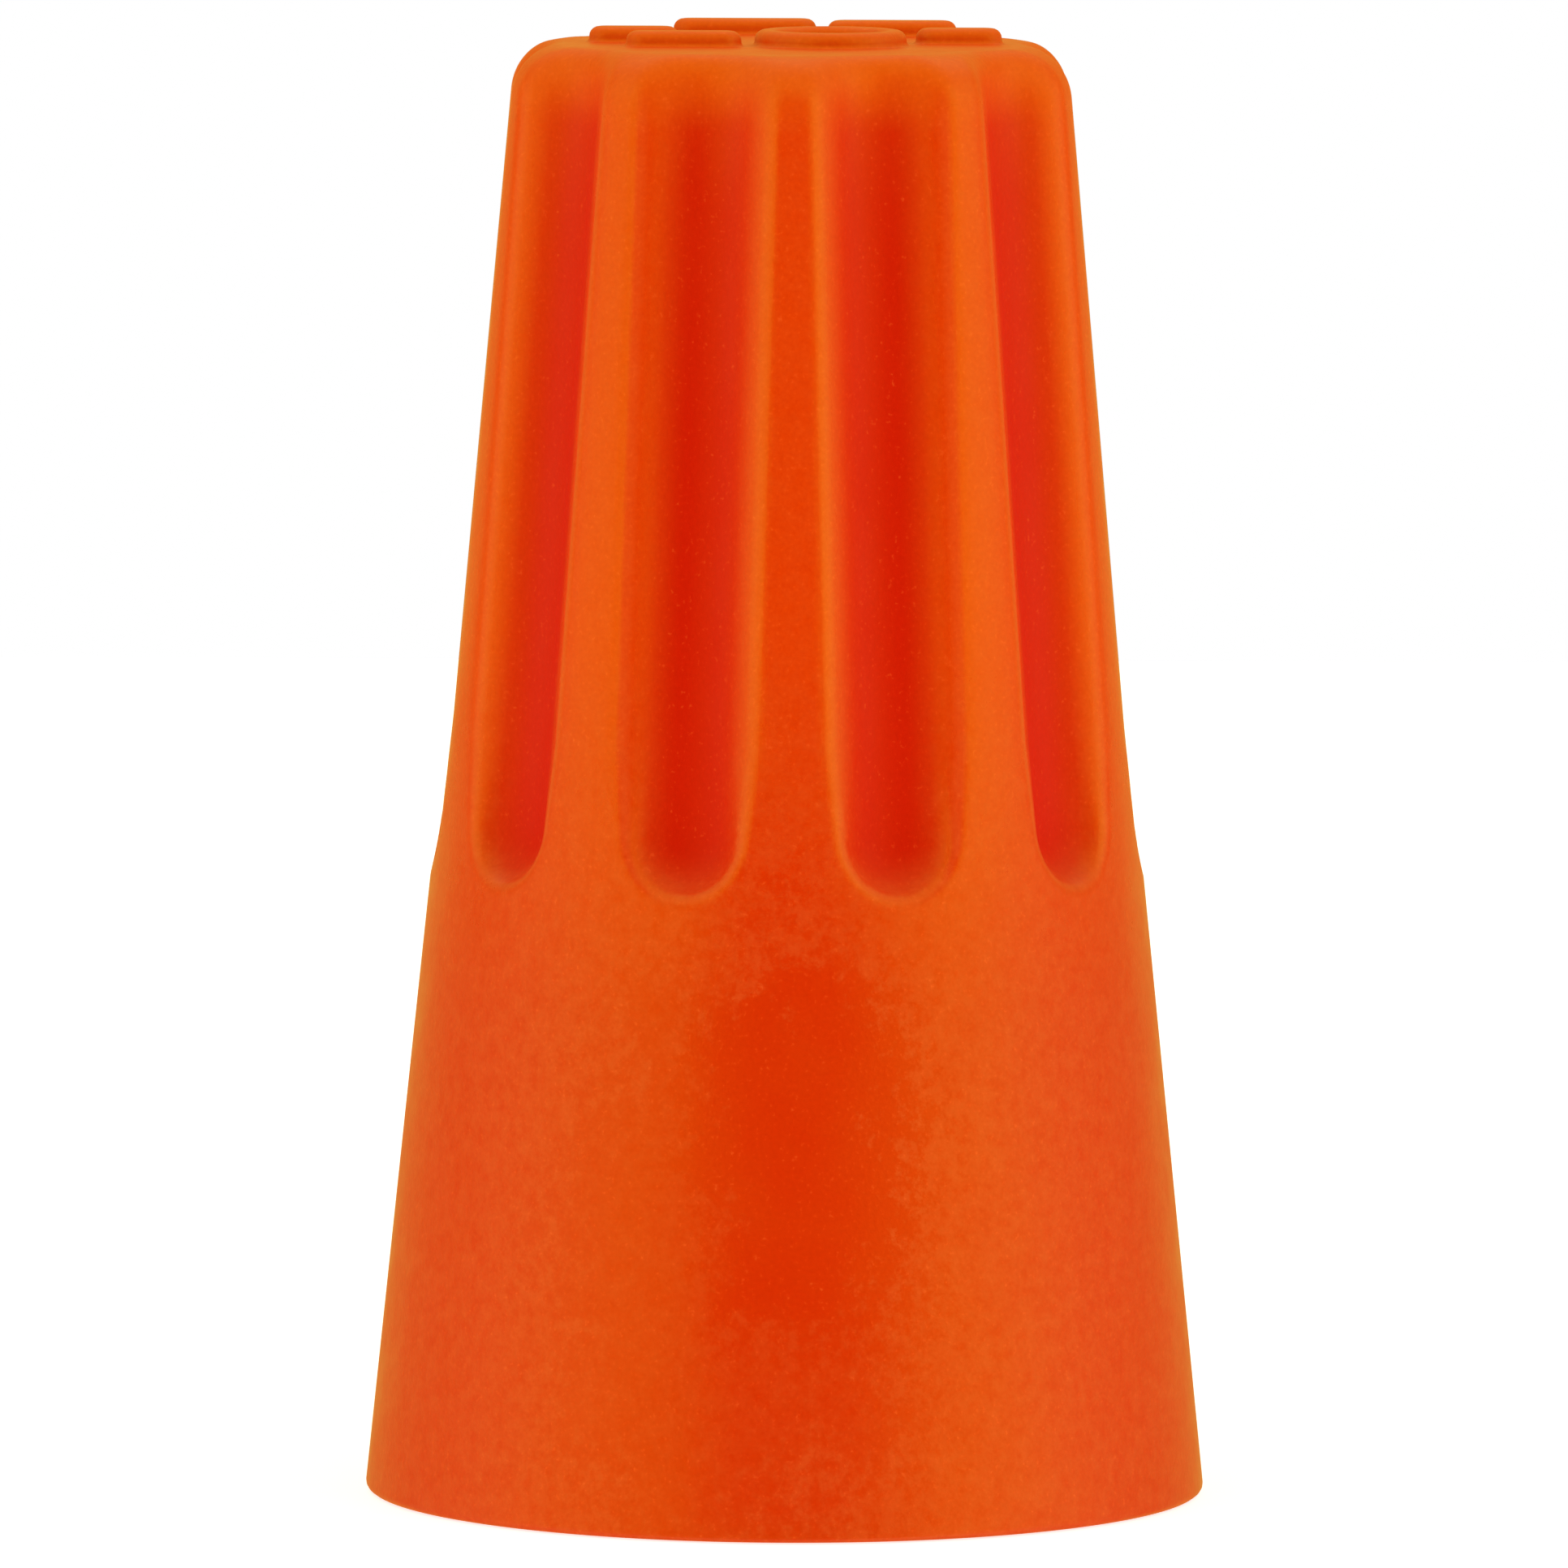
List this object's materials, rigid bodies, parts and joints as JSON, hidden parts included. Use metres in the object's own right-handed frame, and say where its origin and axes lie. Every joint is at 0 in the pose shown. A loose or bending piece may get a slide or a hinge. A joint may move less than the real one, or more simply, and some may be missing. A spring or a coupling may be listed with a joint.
{
  "type": "twist wire connector",
  "caption": "Screw-on electrical splice cap: a tapered, fluted orange plastic shell with an open skirt and a conical square-wire spring inside that grips twisted conductors.",
  "frame": {"origin": "centre of the open rim's plane", "axes": "+Z along the connector's axis from the open rim to the closed crown, -Y towards the viewer of the front, +X to that viewer's right"},
  "size_m": [0.0134, 0.0134, 0.0233],
  "materials": {
    "shell_plastic": "semi-gloss moulded orange, slightly mottled",
    "spring_steel": "zinc-plated drawn square wire"
  },
  "bodies": {
    "root": {"shell": "shell_plastic", "coil_spring": "spring_steel"}
  },
  "joints": []
}
